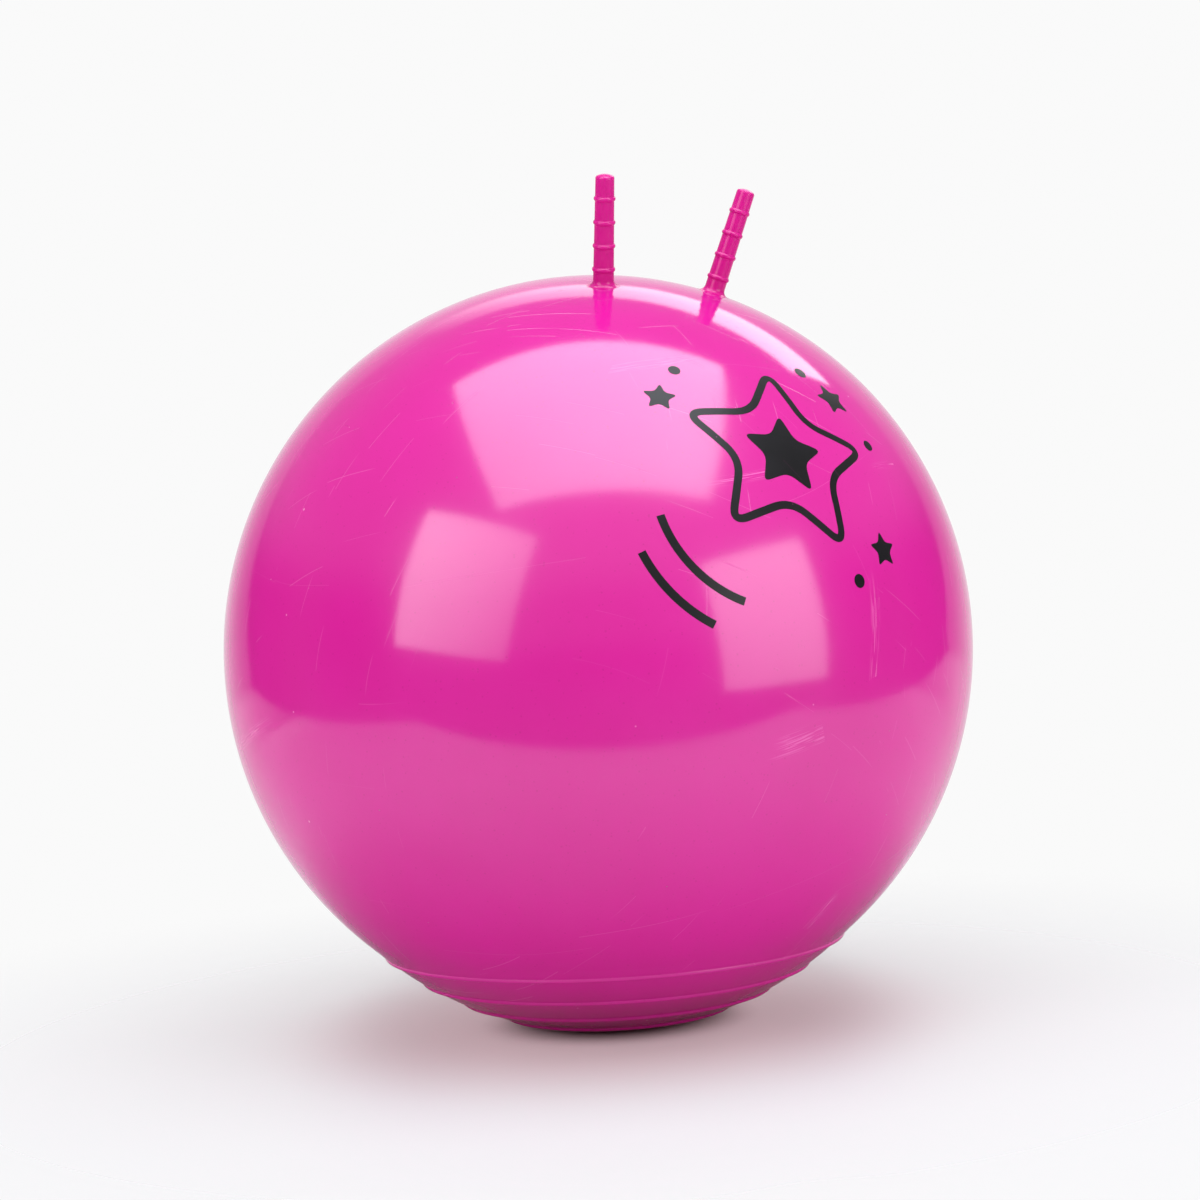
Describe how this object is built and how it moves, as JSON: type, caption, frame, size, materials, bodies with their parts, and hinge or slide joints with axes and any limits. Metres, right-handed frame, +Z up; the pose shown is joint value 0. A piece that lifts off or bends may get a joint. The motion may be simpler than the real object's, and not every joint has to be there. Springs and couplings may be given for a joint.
{
  "type": "hopper ball",
  "caption": "Inflated hopper ball with a ribbed sole, ringed flexible horns to hold on to and a push-in valve plug at the back.",
  "frame": {"origin": "middle of the flat patch that the ball stands on", "axes": "+Z up, -Y to the front that the rider looks to and the print is on, +X to the rider's left"},
  "size_m": [0.6, 0.5999, 0.6482],
  "materials": {
    "skin": "glossy soft vinyl, magenta all through, with fine scuffs",
    "seat": "thick soft vinyl, a little darker than the skin",
    "plug": "moulded white polyethylene, satin",
    "print": "black screen-printed ink on the skin"
  },
  "bodies": {
    "ball": {"ball_skin": "skin", "valve_seat": "seat"},
    "left_root": {"left_horn_root": "skin"},
    "left_horn": {"left_horn": "skin"},
    "right_root": {"right_horn_root": "skin"},
    "right_horn": {"right_horn": "skin"},
    "plug": {"valve_plug": "plug"}
  },
  "joints": [
    {"name": "left_horn_pitch", "type": "hinge", "parent": "ball", "child": "left_root", "pos_m": [0.05306, -0.12215, 0.58362], "axis": [0.9856, 0.067, -0.1555], "range_deg": [-25, 25], "stiffness_Nm_per_rad": 1, "deforming": ["left_horn_root"]},
    {"name": "left_horn_sway", "type": "hinge", "parent": "left_root", "child": "left_horn", "pos_m": [0.05306, -0.12215, 0.58362], "axis": [0, 0.9184, 0.3955], "range_deg": [-20, 20], "stiffness_Nm_per_rad": 1},
    {"name": "right_horn_pitch", "type": "hinge", "parent": "ball", "child": "right_root", "pos_m": [-0.05306, -0.12215, 0.58362], "axis": [0.9856, -0.067, 0.1555], "range_deg": [-25, 25], "stiffness_Nm_per_rad": 1, "deforming": ["right_horn_root"]},
    {"name": "right_horn_sway", "type": "hinge", "parent": "right_root", "child": "right_horn", "pos_m": [-0.05306, -0.12215, 0.58362], "axis": [0, 0.9184, 0.3955], "range_deg": [-20, 20], "stiffness_Nm_per_rad": 1},
    {"name": "plug_slide", "type": "slide", "parent": "ball", "child": "plug", "axis": [0, 1, 0], "range_m": [0, 0.03]}
  ]
}
